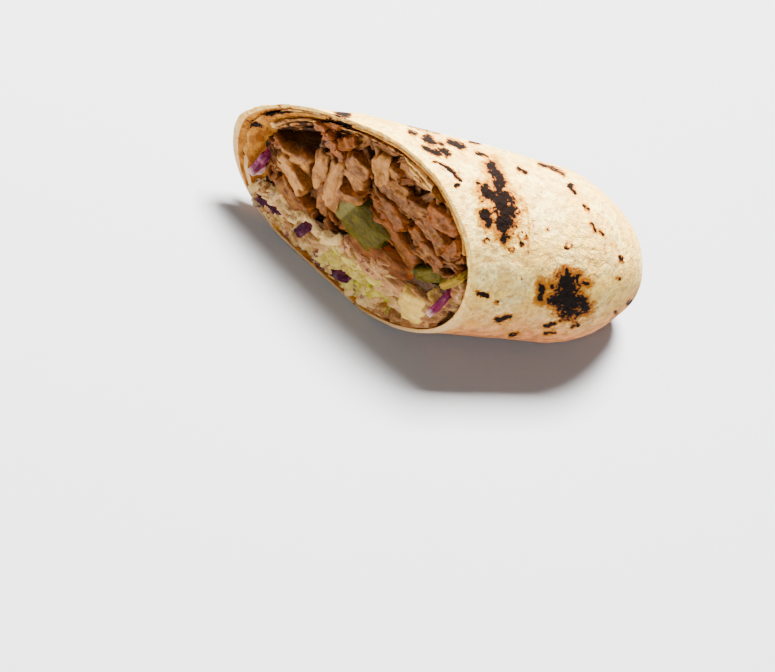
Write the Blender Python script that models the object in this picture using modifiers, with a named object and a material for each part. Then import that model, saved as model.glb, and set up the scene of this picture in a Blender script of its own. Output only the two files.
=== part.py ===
"""Half of a rolled donair wrap, cut on the bias and lying on its flat underside.

Metres, +Z up. The wrap runs along +X, from its cut face to its folded end, and rests on Z = 0.
Shapes are worked out in the wrap's own frame, whose origin is under the middle of the cut.
The filling's pieces are laid out on the cut face: across it, up it and out of it.
"""

import math
import random

import bmesh
import bpy
from mathutils import Matrix, Vector, noise

# Driving sizes of the rolled bread
LENGTH = 0.110  # from the middle of the cut to the folded end
HALF_WIDTH = 0.0355
CROWN = 0.0387  # from the widest level up to the top
BELLY = 0.0322  # from the widest level down, before the underside is pressed flat
PRESSED = 0.93  # share of the belly that is left above the flat underside
LEAN = 0.0076  # the top sits this far towards the front
TAPER = 0.206  # share of its width that the roll loses along its length
VEER = -0.0039  # the folded end swings this far to the front
UPPER_CURVE = 1.71  # superellipse powers of the section above and below its widest level
LOWER_CURVE = 2.16
DOME_START = 0.070  # where the folded end starts to close
DOME_HEIGHT = 0.016  # height of the very tip
DOME_FLARE = 1.74
DOME_ROUND = 0.63
CUT_BIAS = math.radians(42.5)  # the vertical knife cut, turned from square across the roll

BREAD = 0.0020  # thickness of one layer
LAYER_GAP = 0.0004
LAYER = BREAD + LAYER_GAP
FIT_GAP = 0.0004  # between neighbours
OUTER_EDGE = 205.0  # degrees round the roll, from the front over the top: the free outer edge
INNER_EDGE = 40.0  # and the inner edge of the sheet
EDGE_SHARPNESS = 0.6  # degrees on either side of a free edge
EDGE_EASE = 70.0  # degrees over which the sheet climbs onto the layer below
END_THICKENING = 1.4  # the bread is this much thicker at the folded end
OUTER_GRID = (50, 10, 7)  # columns round the roll, rows before the folded end, rows over it
INNER_GRID = (40, 8, 5)
SKIN_WAVE = 0.0006  # unevenness of the rolled surface
SKIN_WAVE_LENGTH = 0.018
END_DENTS = 0.0018  # the folds over the closed end

CUT_REACH = 0.0335  # how far the back of the cut reaches behind its middle
PAST_CUT = 0.014  # how far shapes are carried past the cut before the knife trims them
MIDDLE = (0.0386, 0.0010)  # middle of the finished part's length and width, from the cut's
MEAT_SET_BACK = 0.0052  # the packed meat and slaw lie this far behind the cut
SLAW_SET_BACK = 0.0034

# Meat slices on the cut face: across, up, length, breadth (millimetres) and turn (degrees)
MEAT_SLICES = [
    (-25.2, 34.2, 12.5, 10.5, 20),
    (-18.2, 33.8, 14.5, 5.4, -66),
    (-12.4, 33.3, 18.5, 6.2, -73),
    (-23.6, 26.0, 15.5, 6.6, -8),
    (-20.4, 19.0, 15.5, 5.8, -14),
    (-15.6, 23.4, 8.5, 5.2, -50),
    (-25.0, 15.4, 8.5, 5.6, -38),
    (-7.7, 47.2, 9.5, 6.4, 0),
    (-5.8, 41.6, 10.0, 6.0, -12),
    (-4.5, 37.0, 9.0, 4.6, 24),
    (-9.9, 54.4, 14.0, 4.4, 66),
    (-4.0, 60.6, 12.5, 4.4, 34),
    (-1.3, 51.2, 11.0, 6.0, -56),
    (10.8, 61.0, 14.5, 7.2, 12),
    (2.6, 55.8, 8.0, 4.2, 20),
    (5.1, 52.4, 8.0, 3.2, 60),
    (10.6, 54.4, 8.5, 3.2, 74),
    (15.9, 55.0, 8.5, 3.0, 66),
    (6.6, 49.6, 10.0, 4.4, 4),
    (9.8, 45.9, 17.5, 5.4, 10),
    (23.8, 53.2, 13.0, 6.4, 4),
    (25.2, 59.4, 8.5, 5.6, -48),
    (24.6, 46.4, 13.5, 5.6, -8),
    (30.0, 41.8, 14.5, 4.4, 18),
    (26.8, 37.0, 11.0, 4.6, -12),
    (14.6, 34.4, 22.0, 7.6, -17),
    (10.4, 40.6, 13.0, 5.2, -5),
    (32.8, 47.8, 8.0, 4.4, 58),
    (-14.9, 49.8, 9.5, 5.2, 58),
    (-17.6, 45.6, 7.0, 5.2, 10),
    (-6.4, 23.2, 12.0, 6.0, -70),
    (-10.6, 26.4, 12.0, 4.8, -76),
    (-20.5, 41.6, 9.0, 4.2, 28),
    (17.5, 60.4, 6.5, 4.0, -40),
    (15.0, 49.6, 9.0, 5.0, 8),
    (20.0, 42.0, 8.0, 5.0, -30),
]
SLICE_DEPTH = 0.015  # how far a slice runs into the wrap
CRUMBS = 10  # small meat scraps between the slices
SHREDS = 20  # shredded cabbage in the slaw

# The hollow under the top layers, where the meat has sunk away from the bread
HOLLOW_AT = (-0.0305, 0.0385)
HOLLOW_SIZE = (0.0100, 0.0042, 0.0130)
HOLLOW_TURN = math.radians(44)

# Single pieces: across, up, length, breadth, depth into the wrap, how far proud, and turn
PIECES = {
    "pickle_chunk": (0.0030, 0.0288, 0.0200, 0.0130, 0.0130, 0.0002, -12),
    "cabbage_slab": (0.0135, 0.0172, 0.0250, 0.0048, 0.0120, 0.0004, 2),
    "tomato_slice": (0.0140, 0.0232, 0.0230, 0.0062, 0.0140, -0.0006, 3),
    "pickle_slice": (0.0300, 0.0300, 0.0140, 0.0052, 0.0120, -0.0018, 46),
    "pepper_strip": (0.0378, 0.0365, 0.0110, 0.0028, 0.0080, 0.0002, 68),
    "cabbage_chunk": (0.0320, 0.0168, 0.0105, 0.0112, 0.0100, 0.0010, 18),
    "onion_strip_right": (0.0384, 0.0254, 0.0130, 0.0026, 0.0060, 0.0012, 84),
    "onion_strip_left": (-0.0355, 0.0190, 0.0125, 0.0030, 0.0060, 0.0008, 82),
    "red_cabbage_a": (-0.0250, 0.0082, 0.0100, 0.0030, 0.0060, 0.0010, 4),
    "red_cabbage_b": (-0.0118, 0.0098, 0.0068, 0.0036, 0.0060, 0.0008, 74),
    "red_cabbage_c": (0.0068, 0.0056, 0.0072, 0.0030, 0.0060, 0.0012, 24),
}
LEAVES = {
    "lettuce_a": (0.0095, 0.0122, 0.0150, 0.0100, 14),
    "lettuce_b": (0.0205, 0.0102, 0.0140, 0.0090, -8),
}
LEAF_THICKNESS = 0.0012
LEAF_WAVE = 0.0011

# Base colour and roughness of each material
MATERIALS = {
    "flatbread": ((0.80, 0.66, 0.46), 0.78),
    "meat": ((0.44, 0.22, 0.09), 0.55),
    "slaw": ((0.74, 0.62, 0.46), 0.42),
    "pickle": ((0.28, 0.26, 0.05), 0.32),
    "tomato": ((0.50, 0.14, 0.05), 0.35),
    "pepper": ((0.60, 0.48, 0.08), 0.35),
    "cabbage": ((0.80, 0.68, 0.42), 0.45),
    "onion": ((0.36, 0.03, 0.14), 0.35),
    "lettuce": ((0.62, 0.58, 0.20), 0.42),
}


def clear_scene():
    for obj in list(bpy.data.objects):
        bpy.data.objects.remove(obj)


def new_collection(name):
    collection = bpy.data.collections.new(name)
    bpy.context.scene.collection.children.link(collection)
    return collection


def make_materials():
    made = {}
    for name, (colour, roughness) in MATERIALS.items():
        material = bpy.data.materials.new(name)
        material.use_nodes = True
        shader = material.node_tree.nodes["Principled BSDF"]
        shader.inputs["Base Color"].default_value = (*colour, 1.0)
        shader.inputs["Roughness"].default_value = roughness
        material.diffuse_color = (*colour, 1.0)
        made[name] = material
    return made


def smooth(share):
    share = min(max(share, 0.0), 1.0)
    return share * share * (3 - 2 * share)


# The rolled shape

def skin(angle, x, inset):
    """A point of the roll's skin, or that far inside it. The angle runs from the front over the top."""
    length = LENGTH - END_THICKENING * inset
    along = max(x, 0.0) / LENGTH
    taper = 1 - TAPER * along
    dome = min(max((x - DOME_START) / (length - DOME_START), 0.0), 1.0)
    size = taper * (1 - dome**DOME_FLARE) ** DOME_ROUND
    c, s = math.cos(math.radians(angle)), math.sin(math.radians(angle))
    power = 2 / (UPPER_CURVE if s >= 0 else LOWER_CURVE)
    y = -(HALF_WIDTH - inset) * math.copysign(abs(c) ** power, c)
    z = ((CROWN if s >= 0 else BELLY) - inset) * math.copysign(abs(s) ** power, s)
    y -= LEAN * max(z / CROWN, 0.0) ** 1.5
    level = BELLY * PRESSED * taper * (1 - dome**2) + DOME_HEIGHT * dome**2
    return Vector((x, size * y + VEER * along**2, max(level + size * z, inset)))


def climb(angle):
    """How far the sheet still is inside its outer place, just past the free outer edge."""
    return LAYER * (1 - smooth((angle - OUTER_EDGE) / EDGE_EASE))


def outer_inset(angle):
    return climb(angle) if angle > OUTER_EDGE else 0.0


def cavity_inset(angle):
    if angle > OUTER_EDGE:
        return BREAD + climb(angle)
    return BREAD + (LAYER if angle > INNER_EDGE else 0.0)


def columns_with_edge(count, edge):
    """Angles round the roll, with a close pair at a free edge."""
    step = 360 / (count - 2)
    spaced = [step * i for i in range(count - 2)]
    apart = [a for a in spaced if abs(a - edge) > step / 3]
    pair = [edge - EDGE_SHARPNESS, edge + EDGE_SHARPNESS]
    return sorted(apart + pair)


def stations(straight, domed, tip):
    """Places along the roll, closer together towards the tip."""
    start = -CUT_REACH - PAST_CUT
    made = [start + (DOME_START - start) * i / straight for i in range(straight)]
    for i in range(domed):
        made.append(DOME_START + (tip - DOME_START) * math.sin(i / domed * math.pi / 2))
    return made


def grow_evenly(bm, distance):
    """Moves the whole surface out, or in, by one distance, facet by facet."""
    bmesh.ops.triangulate(bm, faces=bm.faces)
    bm.normal_update()
    steps = [vert.normal * vert.calc_shell_factor() * distance for vert in bm.verts]
    for vert, step in zip(bm.verts, steps):
        vert.co += step


def rolled_body(name, inset_at, end_inset, edge, wave, grow=0.0):
    """A closed body of the roll's shape, from a sphere whose poles become its two ends."""
    column_count, straight, domed = OUTER_GRID if wave else INNER_GRID
    columns = columns_with_edge(column_count, edge)
    tip = LENGTH - END_THICKENING * end_inset
    places = stations(straight, domed, tip)
    rows = len(places) + 1
    bm = bmesh.new()
    bmesh.ops.create_uvsphere(bm, u_segments=len(columns), v_segments=rows, radius=1)
    for vert in bm.verts:
        row = round(math.acos(max(-1.0, min(1.0, -vert.co.z))) / math.pi * rows)
        if row == 0:
            level = BELLY * PRESSED
            vert.co = Vector((places[0], 0, level))
            continue
        if row == rows:
            vert.co = Vector((tip, VEER, DOME_HEIGHT))
            continue
        turn = math.atan2(vert.co.y, vert.co.x) / math.tau % 1.0
        angle = columns[round(turn * len(columns)) % len(columns)]
        x = places[row - 1]
        closing = (x - DOME_START) / (tip - DOME_START)
        merged = smooth(closing / 0.8)
        inset = inset_at(angle) * (1 - merged) + end_inset * merged
        point = skin(angle, x, inset)
        if wave and point.z > 2 * BREAD:
            depth = SKIN_WAVE + (END_DENTS - SKIN_WAVE) * smooth(closing)
            bump = noise.noise(point / SKIN_WAVE_LENGTH) * depth
            point += Vector((0, point.y, point.z - BELLY)).normalized() * bump
        vert.co = point
    bmesh.ops.reverse_faces(bm, faces=bm.faces)
    grow_evenly(bm, grow)
    return mesh_object(name, bm)


# Objects, parents and Booleans

def mesh_object(name, bm):
    mesh = bpy.data.meshes.new(name)
    bm.to_mesh(mesh)
    bm.free()
    return bpy.data.objects.new(name, mesh)


def put(obj, collection, parent, material=None):
    collection.objects.link(obj)
    obj.parent = parent
    if material:
        obj.data.materials.clear()
        obj.data.materials.append(material)
    return obj


def as_cutter(obj):
    obj.hide_render = True
    obj.display_type = "WIRE"
    return obj


def add_boolean(obj, operation, other):
    modifier = obj.modifiers.new(operation.lower(), "BOOLEAN")
    modifier.operation = operation
    modifier.solver = "MANIFOLD"
    if isinstance(other, bpy.types.Collection):
        modifier.operand_type = "COLLECTION"
        modifier.collection = other
    else:
        modifier.object = other


def apply_modifiers(obj):
    bpy.context.view_layer.update()
    graph = bpy.context.evaluated_depsgraph_get()
    mesh = bpy.data.meshes.new_from_object(obj.evaluated_get(graph))
    obj.modifiers.clear()
    obj.data = mesh


def remove_collection(collection):
    for obj in list(collection.objects):
        bpy.data.objects.remove(obj)
    bpy.data.collections.remove(collection)


def keep_main_body(obj):
    """Drops the loose scraps that the trimming has left."""
    bm = bmesh.new()
    bm.from_mesh(obj.data)
    bmesh.ops.triangulate(bm, faces=bm.faces)
    waiting, bodies = set(bm.faces), []
    while waiting:
        body, growing = [], [waiting.pop()]
        while growing:
            face = growing.pop()
            body.append(face)
            joints = [edge for edge in face.edges if len(edge.link_faces) == 2]
            near = {other for edge in joints for other in edge.link_faces} & waiting
            waiting -= near
            growing.extend(near)
        bodies.append(body)
    bodies.sort(key=len)
    scraps = [face for body in bodies[:-1] for face in body]
    bmesh.ops.delete(bm, geom=scraps, context="FACES")
    bm.to_mesh(obj.data)
    bm.free()


# Soft shapes of the filling

def soft_box(name, size, cuts, squareness, roughness, seed, curl=0.0, grow=0.0):
    """A box with rounded, uneven sides: a cube, subdivided and pulled in towards an ellipsoid."""
    bm = bmesh.new()
    bmesh.ops.create_cube(bm, size=2)
    bmesh.ops.subdivide_edges(bm, edges=bm.edges, cuts=cuts, use_grid_fill=True)
    half = Vector(size) / 2
    for vert in bm.verts:
        unit = vert.co
        length = sum(abs(c) ** squareness for c in unit) ** (1 / squareness)
        unit = unit / length
        swell = 1 + roughness * noise.noise(unit * 1.7 + Vector((seed * 3.1, seed * 1.7, 0)))
        point = Vector(u * h for u, h in zip(unit * swell, half))
        point.y += curl * half.x * (unit.x**2 - 0.3)
        vert.co = point
    grow_evenly(bm, grow)
    return mesh_object(name, bm)


def leaf(name, length, depth, grow=0.0):
    """A thin wavy leaf that runs into the wrap."""
    bm = bmesh.new()
    bmesh.ops.create_grid(bm, x_segments=9, y_segments=4, size=0.5)
    for vert in bm.verts:
        across, inward = vert.co.x * (length + 2 * grow), vert.co.y * (depth + 2 * grow)
        wave = LEAF_WAVE * math.sin(11 * across / length + 3 * inward / depth)
        vert.co = Vector((across, wave, inward))
    bmesh.ops.triangulate(bm, faces=bm.faces)
    obj = mesh_object(name, bm)
    thicken = obj.modifiers.new("thicken", "SOLIDIFY")
    thicken.thickness = LEAF_THICKNESS + 2 * grow
    thicken.offset = 0
    return obj


def place(obj, across, up, out, turn, tilt=0.0, swing=0.0):
    obj.location = (across, up, out)
    obj.rotation_euler = (math.radians(tilt), math.radians(swing), math.radians(turn))
    return obj


def slaw_height(y):
    """Top of the slaw, which lies deeper towards the front of the roll."""
    return 0.018 - 0.366 * y + 4.83 * y * y


def layer_cutter(name, side):
    """A block above (side 1) or below (side -1) the line between meat and slaw."""
    bm = bmesh.new()
    bmesh.ops.create_grid(bm, x_segments=14, y_segments=9, size=0.5)
    for vert in bm.verts:
        x = 0.030 + vert.co.x * 0.200
        y = vert.co.y * 0.100
        rough = 0.0010 * noise.noise(Vector((x, y, 0)) * 130)
        vert.co = Vector((x, y, slaw_height(y) + rough - side * FIT_GAP / 2))
    top = bmesh.ops.extrude_face_region(bm, geom=bm.faces[:])
    moved = [g for g in top["geom"] if isinstance(g, bmesh.types.BMVert)]
    for vert in moved:
        vert.co.z = 0.100 if side > 0 else -0.030
    bmesh.ops.recalc_face_normals(bm, faces=bm.faces)
    return mesh_object(name, bm)


def packed_block(name, set_back, roughness):
    """Everything behind the cut: the packed core that the slices stand on."""
    bm = bmesh.new()
    bmesh.ops.create_grid(bm, x_segments=14, y_segments=10, size=0.5)
    for vert in bm.verts:
        across, up = vert.co.x * 0.150, 0.035 + vert.co.y * 0.110
        rough = roughness * noise.noise(Vector((across, up, set_back * 9)) * 160)
        vert.co = Vector((across, up, rough - set_back))
    back = bmesh.ops.extrude_face_region(bm, geom=bm.faces[:])
    for vert in (g for g in back["geom"] if isinstance(g, bmesh.types.BMVert)):
        vert.co.z = -0.170
    bmesh.ops.recalc_face_normals(bm, faces=bm.faces)
    return mesh_object(name, bm)


# The object's own pieces

def make_knife(cutters, face):
    """Everything past the cut face."""
    bm = bmesh.new()
    bmesh.ops.create_cube(bm, size=0.2, matrix=Matrix.Translation((0, 0, 0.1)))
    return put(as_cutter(mesh_object("knife", bm)), cutters, face)


def make_slit(cutters, wrap):
    """The thin gap between the two layers where the sheet overlaps itself."""
    bm = bmesh.new()
    bmesh.ops.create_grid(bm, x_segments=26, y_segments=6, size=0.5)
    first, last = INNER_EDGE - 5, OUTER_EDGE + 4
    start, end = -CUT_REACH - PAST_CUT / 2, DOME_START - 0.006
    for vert in bm.verts:
        angle = first + (last - first) * (vert.co.x + 0.5)
        x = start + (end - start) * (vert.co.y + 0.5)
        vert.co = skin(angle, x, BREAD + LAYER_GAP / 2)
    bmesh.ops.recalc_face_normals(bm, faces=bm.faces)
    slit = mesh_object("slit", bm)
    thicken = slit.modifiers.new("thicken", "SOLIDIFY")
    thicken.thickness = LAYER_GAP
    thicken.offset = 0
    return put(as_cutter(slit), cutters, wrap)


def make_flatbread(parts, cutters, wrap, face, material):
    bread = rolled_body("flatbread", outer_inset, 0.0, OUTER_EDGE, True)
    put(bread, parts, wrap, material)
    cavity = rolled_body("cavity", cavity_inset, BREAD + LAYER, INNER_EDGE, False)
    put(as_cutter(cavity), cutters, wrap)
    for cutter in (cavity, make_slit(cutters, wrap), make_knife(cutters, face)):
        add_boolean(bread, "DIFFERENCE", cutter)
    return bread


def settle(shape, parts, cutters, face, room, pockets, material, grow):
    """A piece among its neighbours, or its grown copy as a pocket for those that come after it."""
    if grow:
        pockets.append(put(as_cutter(shape), cutters, face))
        return
    put(shape, parts, face, material)
    add_boolean(shape, "INTERSECT", room)
    for pocket in pockets:
        add_boolean(shape, "DIFFERENCE", pocket)
    apply_modifiers(shape)
    keep_main_body(shape)


def make_pieces(parts, cutters, room, face, materials):
    """The single pieces that show in the cut, and the pockets that they leave in the filling.

    Each is pressed into shape by the bread and by the pieces before it.
    """
    pockets = []
    slots = {
        "pickle": "pickle", "tomato": "tomato", "pepper": "pepper", "cabbage": "cabbage",
        "onion": "onion", "red": "onion", "lettuce": "lettuce",
    }
    for number, (name, sizes) in enumerate(PIECES.items()):
        across, up, length, breadth, depth, proud, turn = sizes
        material = materials[slots[name.split("_")[0]]]
        for grow in (0.0, FIT_GAP):
            size = (length, breadth, depth)
            cuts = 3 if breadth > 0.005 else 2
            shape = soft_box(name, size, cuts, 5.0, 0.16, number + 40, 0.05, grow)
            place(shape, across, up, proud - depth / 2, turn)
            settle(shape, parts, cutters, face, room, pockets, material, grow)
    for name, (across, up, length, depth, turn) in LEAVES.items():
        for grow in (0.0, FIT_GAP):
            shape = leaf(name, length, depth, grow)
            place(shape, across, up, 0.0010 - depth / 2, turn)
            settle(shape, parts, cutters, face, room, pockets, materials["lettuce"], grow)
    return pockets


def make_meat(parts, cutters, wrap, face, room, pockets, material):
    """The packed meat with its slices fused on, trimmed to the roll and to the slaw."""
    draw = random.Random(11)
    slices = new_collection("slices")
    for number, (*sizes, turn) in enumerate(MEAT_SLICES):
        across, up, length, breadth = (size / 1000 for size in sizes)
        size = (length, breadth, SLICE_DEPTH)
        curl = draw.uniform(-0.18, 0.18)
        cuts = 2 if breadth > 0.0052 else 1
        shape = soft_box("slice", size, cuts, 4.0, 0.30, number, curl)
        proud = draw.uniform(-0.0022, 0.0016)
        place(shape, across, up, proud - SLICE_DEPTH / 2, turn, draw.uniform(-10, 10), draw.uniform(-8, 8))
        put(shape, slices, face)
    for number in range(CRUMBS):
        across = draw.uniform(-0.028, 0.034)
        up = draw.uniform(0.026, 0.062 - 0.5 * abs(across - 0.004))
        size = [draw.uniform(0.005, 0.009), draw.uniform(0.0035, 0.0055), 0.010]
        shape = soft_box("crumb", size, 1, 3.0, 0.35, 70 + number)
        place(shape, across, up, draw.uniform(-0.0075, -0.0050), draw.uniform(0, 180), draw.uniform(-25, 25))
        put(shape, slices, face)
    meat = put(packed_block("meat", MEAT_SET_BACK, 0.0016), parts, face, material)
    add_boolean(meat, "UNION", slices)
    apply_modifiers(meat)
    remove_collection(slices)

    below = put(as_cutter(layer_cutter("below", -1)), cutters, wrap)
    hollow = soft_box("hollow", [2 * s for s in HOLLOW_SIZE], 3, 2.0, 0.2, 90)
    place(hollow, *HOLLOW_AT, 0.0, math.degrees(HOLLOW_TURN))
    put(as_cutter(hollow), cutters, face)
    add_boolean(meat, "INTERSECT", room)
    for cutter in [below, hollow] + pockets:
        add_boolean(meat, "DIFFERENCE", cutter)
    apply_modifiers(meat)
    keep_main_body(meat)


def make_slaw(parts, cutters, wrap, face, room, pockets, material):
    """The creamy slaw along the underside, with shreds of cabbage fused on."""
    draw = random.Random(5)
    shreds = new_collection("shreds")
    for number in range(SHREDS):
        across = -0.036 + 0.072 * (number + draw.uniform(0.1, 0.9)) / SHREDS
        top = slaw_height(-across * math.cos(CUT_BIAS))
        up = draw.uniform(0.005, max(0.007, top - 0.002))
        size = (draw.uniform(0.009, 0.014), draw.uniform(0.0026, 0.0040), 0.009)
        shape = soft_box("shred", size, 1, 3.5, 0.30, 120 + number)
        out = draw.uniform(-0.0055, -0.0030)
        place(shape, across, up, out, draw.uniform(-25, 35), draw.uniform(-20, 20), draw.uniform(-15, 15))
        put(shape, shreds, face)
    slaw = put(packed_block("slaw", SLAW_SET_BACK, 0.0012), parts, face, material)
    add_boolean(slaw, "UNION", shreds)
    apply_modifiers(slaw)
    remove_collection(shreds)

    above = put(as_cutter(layer_cutter("above", 1)), cutters, wrap)
    add_boolean(slaw, "INTERSECT", room)
    for cutter in [above] + pockets:
        add_boolean(slaw, "DIFFERENCE", cutter)
    apply_modifiers(slaw)
    keep_main_body(slaw)


def main():
    clear_scene()
    parts = new_collection("donair_half_wrap")
    cutters = new_collection("cutters")
    materials = make_materials()

    wrap = bpy.data.objects.new("wrap", None)
    wrap.location = (-MIDDLE[0], -MIDDLE[1], 0)
    parts.objects.link(wrap)
    face = bpy.data.objects.new("cut_face", None)
    parts.objects.link(face)
    face.parent = wrap
    along = Vector((math.sin(CUT_BIAS), -math.cos(CUT_BIAS), 0))
    up = Vector((0, 0, 1))
    face.matrix_local = Matrix((along, up, along.cross(up))).transposed().to_4x4()

    make_flatbread(parts, cutters, wrap, face, materials["flatbread"])
    room = rolled_body("room", cavity_inset, BREAD + LAYER, INNER_EDGE, False, -FIT_GAP)
    put(as_cutter(room), cutters, wrap)
    pockets = make_pieces(parts, cutters, room, face, materials)
    make_meat(parts, cutters, wrap, face, room, pockets, materials["meat"])
    make_slaw(parts, cutters, wrap, face, room, pockets, materials["slaw"])


main()
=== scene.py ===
# Looks of half a donair wrap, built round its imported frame. Metres, +Z up, folded end towards +X.

import math
import random

import bpy
import numpy as np
from mathutils import Euler, Matrix, Vector, noise


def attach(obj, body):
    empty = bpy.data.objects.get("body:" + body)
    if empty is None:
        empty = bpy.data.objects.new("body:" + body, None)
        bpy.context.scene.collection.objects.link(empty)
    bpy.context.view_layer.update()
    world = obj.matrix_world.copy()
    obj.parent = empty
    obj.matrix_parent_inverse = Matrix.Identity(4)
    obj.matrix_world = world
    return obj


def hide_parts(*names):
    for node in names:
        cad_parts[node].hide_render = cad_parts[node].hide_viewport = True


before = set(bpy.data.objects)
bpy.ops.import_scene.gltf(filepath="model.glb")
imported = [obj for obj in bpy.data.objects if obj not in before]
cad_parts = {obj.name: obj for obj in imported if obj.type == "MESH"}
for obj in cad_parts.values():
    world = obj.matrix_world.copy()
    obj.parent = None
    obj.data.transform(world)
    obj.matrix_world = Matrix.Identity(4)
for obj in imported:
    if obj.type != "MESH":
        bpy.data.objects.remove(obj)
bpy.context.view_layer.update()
bpy.ops.object.select_all(action="DESELECT")
print("frame loaded")


# camera: the photograph's own view

view = {
    "location": Vector((-0.315825, -0.402298, 0.515694)),
    "azimuth": math.radians(-38.2186), "elevation": math.radians(46.9799), "roll": math.radians(34.8718),
    "focal": 101.506, "sensor": 36, "width": 775, "height": 672,
}
back = Vector((
    math.sin(view["azimuth"]) * math.cos(view["elevation"]),
    -math.cos(view["azimuth"]) * math.cos(view["elevation"]),
    math.sin(view["elevation"]),
))
level = Vector((math.cos(view["azimuth"]), math.sin(view["azimuth"]), 0))
right = level * math.cos(view["roll"]) + back.cross(level) * math.sin(view["roll"])
bpy.ops.object.camera_add(location=view["location"])
camera = bpy.context.object
camera.name = "camera"
camera.matrix_world = (
    Matrix.Translation(view["location"]) @ Matrix((right, back.cross(right), back)).transposed().to_4x4()
)
camera.data.lens = view["focal"]
camera.data.sensor_width = view["sensor"]
bpy.context.scene.camera = camera


# the rolled shape that every piece follows: x runs from the cut to the folded end,
# and the angle goes round from the front over the top to the back

roll = {
    "length": 0.11, "halfWidth": 0.0355, "crown": 0.0387, "belly": 0.0322, "pressed": 0.93,
    "lean": 0.0076, "taper": 0.206, "veer": -0.0039, "upperCurve": 1.71, "lowerCurve": 2.16,
    "domeStart": 0.07, "domeHeight": 0.016, "domeFlare": 1.74, "domeRound": 0.63,
    "endThickening": 1.4, "bread": 0.002, "layer": 0.0024, "innerEdge": 40.0, "outerEdge": 205.0,
    "edgeEase": 70.0, "waveDepth": 0.0006, "waveLength": 0.018, "endDents": 0.0018,
    "rimThinning": 0.36, "rimDepth": 0.0045, "tipInset": 0.004, "clearance": 0.0003,
}
cutBias = math.radians(42.5)
place = Vector((-0.0386, -0.001, 0))
along = Vector((math.sin(cutBias), -math.cos(cutBias), 0))
facing = along.cross(Vector((0, 0, 1)))
faceFrame = Matrix.Translation(place) @ Matrix((along, (0, 0, 1), facing)).transposed().to_4x4()
origin, cutNormal = np.array(place), np.array(facing)


def smooth(share):
    share = np.clip(share, 0.0, 1.0)
    return share * share * (3 - 2 * share)


def rollSection(xs, length, domeEnd):
    # share of the length, size and height of the middle at each x
    part = np.maximum(xs, 0) / roll["length"]
    taper = 1 - roll["taper"] * part
    dome = np.clip((xs - roll["domeStart"]) / (length - roll["domeStart"]), 0, domeEnd)
    size = taper * (1 - dome ** roll["domeFlare"]) ** roll["domeRound"]
    height = roll["belly"] * roll["pressed"] * taper * (1 - dome**2) + roll["domeHeight"] * dome**2
    return part, size, height


def leanAt(z):
    # how far the crown leans to the front
    return roll["lean"] * np.maximum(z / roll["crown"], 0) ** 1.5


def rollPoints(angles, xs, insets):
    part, size, height = rollSection(xs, roll["length"] - roll["endThickening"] * insets, 1)
    c, s = np.cos(np.radians(angles)), np.sin(np.radians(angles))
    power = 2 / np.where(s >= 0, roll["upperCurve"], roll["lowerCurve"])
    y = -(roll["halfWidth"] - insets) * np.sign(c) * np.abs(c) ** power
    z = (np.where(s >= 0, roll["crown"], roll["belly"]) - insets) * np.sign(s) * np.abs(s) ** power
    y = y - leanAt(z)
    return np.stack(
        [xs + 0 * y, size * y + roll["veer"] * part**2, np.maximum(height + size * z, insets)], axis=-1
    )


def climb(angles):
    return roll["layer"] * (1 - smooth((angles - roll["outerEdge"]) / roll["edgeEase"]))


def layersAt(angles):
    # how far the wall inside the outer turn stands in
    return np.where(
        angles > roll["outerEdge"], climb(angles), np.where(angles > roll["innerEdge"], roll["layer"], 0)
    )


def cutAt(angles, insets, steps=40):
    # x at which the skin crosses the cut
    xs = np.zeros_like(angles)
    for _ in range(steps):
        xs = -rollPoints(angles, xs, insets)[..., 1] * math.tan(cutBias)
    return xs


def noiseAt(points, scale, seed=0.0):
    shift = Vector((seed * 3.1, seed * 1.7, seed * 0.7))
    return np.array([noise.noise(Vector(p) / scale + shift) for p in points])


def keepInside(points):
    # pulls points, given from the middle of the cut, in to the bread's inner skin
    x, y, z = points.T
    part, size, height = rollSection(x, roll["length"] - roll["tipInset"], 0.98)
    z0 = (z - height) / size
    y0 = (y - roll["veer"] * part**2) / size + leanAt(z0)
    top = z0 >= 0
    curve = np.where(top, roll["upperCurve"], roll["lowerCurve"])
    tall = np.where(top, roll["crown"], roll["belly"])
    c = -np.sign(y0) * np.abs(y0 / roll["halfWidth"]) ** (curve / 2)
    s = np.sign(z0) * np.abs(z0 / tall) ** (curve / 2)
    angles = np.degrees(np.arctan2(s, c)) % 360
    behind = -points @ cutNormal
    thinned = roll["rimThinning"] * (1 - smooth(behind / roll["rimDepth"]))
    inset = roll["bread"] * (1 - thinned) + roll["clearance"] + layersAt(angles)
    reach = np.abs(y0 / (roll["halfWidth"] - inset)) ** curve + np.abs(z0 / (tall - inset)) ** curve
    pull = np.where(reach > 1, np.maximum(reach, 1e-9) ** (-1 / curve), 1)
    z1 = z0 * pull
    y1 = y0 * pull - leanAt(z1)
    return np.stack(
        [x, size * y1 + roll["veer"] * part**2, np.maximum(height + size * z1, inset)], axis=-1
    )


def slawHeight(y):
    # where the meat meets the slaw
    return 0.018 - 0.366 * y + 4.83 * y * y


def ovalShare(oval, across, upward):
    # 1 on the edge of an oval on the cut, less inside it
    dx, dy = across - oval["across"], upward - oval["up"]
    c, s = math.cos(oval["turn"]), math.sin(oval["turn"])
    return ((dx * c + dy * s) / oval["long"]) ** 2 + ((dy * c - dx * s) / oval["tall"]) ** 2


# mesh helpers

def coordsOf(obj):
    flat = np.empty(len(obj.data.vertices) * 3)
    obj.data.vertices.foreach_get("co", flat)
    return flat.reshape(-1, 3)


def setCoords(obj, points):
    obj.data.vertices.foreach_set("co", np.asarray(points, float).reshape(-1))
    obj.data.update()


def addMasks(obj, **masks):
    # one value for each vertex, or one for all
    for name, values in masks.items():
        mask = obj.data.attributes.new(name, "FLOAT", "POINT")
        mask.data.foreach_set("value", np.array(np.broadcast_to(values, len(obj.data.vertices)), float))


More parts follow.
